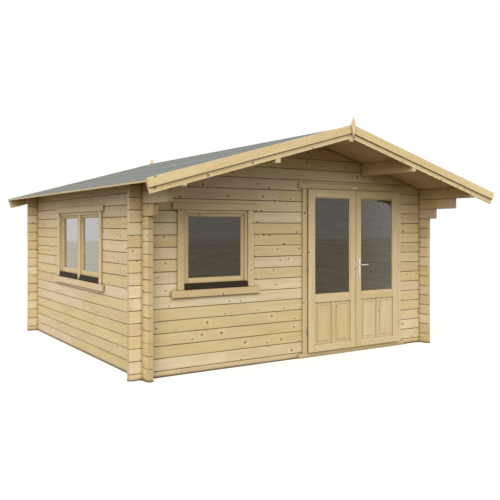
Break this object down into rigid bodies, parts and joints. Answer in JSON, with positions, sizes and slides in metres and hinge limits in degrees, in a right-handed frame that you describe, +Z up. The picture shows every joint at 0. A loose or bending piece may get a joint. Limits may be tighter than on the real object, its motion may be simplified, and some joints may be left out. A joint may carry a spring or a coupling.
{
  "type": "log cabin",
  "caption": "Garden log cabin of interlocking squared logs with a gable front, porch canopy, glazed double door and two windows.",
  "frame": {"origin": "middle of the log walls' footprint, on the ground", "axes": "+X along the front from left to right as seen by someone facing the door, +Y from the front to the rear, +Z up"},
  "size_m": [4.8794, 5.2286, 2.7741],
  "materials": {
    "logs": "planed pine, clear honey stain",
    "roof_boards": "planed pine boards, bare",
    "felt": "mineral-surfaced bitumen felt, speckled grey",
    "floor_timber": "planed pine, bare",
    "trim": "planed pine, clear honey stain",
    "joinery": "sanded pine, clear honey stain",
    "glass": "clear float glass",
    "dark_strip": "dark-stained hardwood",
    "hinge_steel": "zinc-plated",
    "lock_steel": "satin nickel"
  },
  "bodies": {
    "cabin": {"door_frame": "trim", "door_threshold": "trim", "door_trim": "trim", "eaves_strip_left": "trim", "eaves_strip_right": "trim", "floor_bearers": "floor_timber", "floor_boards": "floor_timber", "front_bargeboard_left": "trim", "front_bargeboard_right": "trim", "front_cover_board_left": "trim", "front_cover_board_right": "trim", "front_finial": "trim", "front_gable": "logs", "front_wall_left": "logs", "front_wall_right": "logs", "front_window_drip_bar": "dark_strip", "front_window_frame": "trim", "front_window_glass": "glass", "front_window_sash": "joinery", "front_window_trim": "trim", "left_hinge_pins": "hinge_steel", "left_purlin": "logs", "left_wall": "logs", "rear_bargeboard_left": "trim", "rear_bargeboard_right": "trim", "rear_cover_board_left": "trim", "rear_cover_board_right": "trim", "rear_finial": "trim", "rear_wall": "logs", "ridge_purlin": "logs", "right_hinge_pins": "hinge_steel", "right_purlin": "logs", "right_wall": "logs", "roof_boards_left": "roof_boards", "roof_boards_right": "roof_boards", "roof_felt_left": "felt", "roof_felt_right": "felt", "side_window_drip_bar": "dark_strip", "side_window_frame": "trim", "side_window_glass": "glass", "side_window_sash": "joinery", "side_window_trim": "trim"},
    "left_door": {"left_door_glass": "glass", "left_door_leaf": "joinery", "left_door_panels": "joinery", "left_hinge_knuckles": "hinge_steel"},
    "right_door": {"lock_plates": "lock_steel", "right_door_glass": "glass", "right_door_leaf": "joinery", "right_door_panels": "joinery", "right_hinge_knuckles": "hinge_steel"},
    "lever": {"lever_handle": "lock_steel"}
  },
  "joints": [
    {"name": "left_door_hinge", "type": "hinge", "parent": "cabin", "child": "left_door", "pos_m": [0.0602, -2.0195, 1.06], "axis": [0, 0, -1], "range_deg": [0, 100]},
    {"name": "right_door_hinge", "type": "hinge", "parent": "cabin", "child": "right_door", "pos_m": [1.5898, -2.0195, 1.06], "axis": [0, 0, 1], "range_deg": [0, 100]},
    {"name": "lever_turn", "type": "hinge", "parent": "right_door", "child": "lever", "pos_m": [0.8845, -2.003, 1.099], "axis": [0, 1, 0], "range_deg": [0, 45], "stiffness_Nm_per_rad": 0.8, "springref_deg": -34.38}
  ]
}
